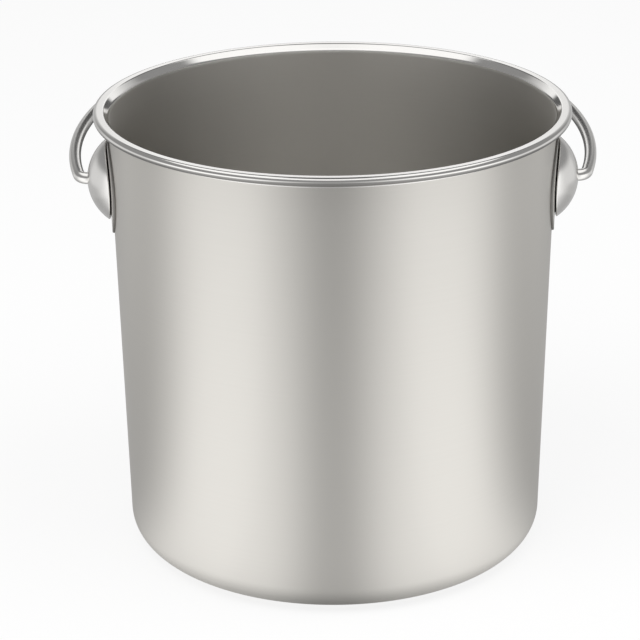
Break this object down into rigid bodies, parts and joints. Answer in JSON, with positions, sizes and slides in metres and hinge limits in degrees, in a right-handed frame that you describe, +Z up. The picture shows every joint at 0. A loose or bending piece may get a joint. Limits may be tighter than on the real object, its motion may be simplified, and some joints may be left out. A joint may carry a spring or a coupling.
{
  "type": "food storage bucket",
  "caption": "Open stainless steel food storage bucket with a slightly tapered drawn wall, flat rolled rim, round domed ears and a swinging wire bail.",
  "frame": {"origin": "centre of the flat underside, on the bucket's axis", "axes": "+Z up along the bucket's axis, +X through the right ear along the bail's pivot line, -Y to the front; the bail is folded to the back at rest"},
  "size_m": [0.2692, 0.2607, 0.2285],
  "materials": {
    "satin_steel": "satin stainless steel with fine turned lines, brighter on the rim",
    "polished_steel": "polished stainless steel"
  },
  "bodies": {
    "bucket": {"bucket_body": "satin_steel", "ear_plate_left": "satin_steel", "ear_plate_right": "satin_steel", "ear_dome_left": "polished_steel", "ear_dome_right": "polished_steel"},
    "bail": {"bail": "polished_steel"}
  },
  "joints": [
    {"name": "bail_swing", "type": "hinge", "parent": "bucket", "child": "bail", "pos_m": [0, 0, 0.1907], "axis": [1, 0, 0], "range_deg": [-46, 204]}
  ]
}
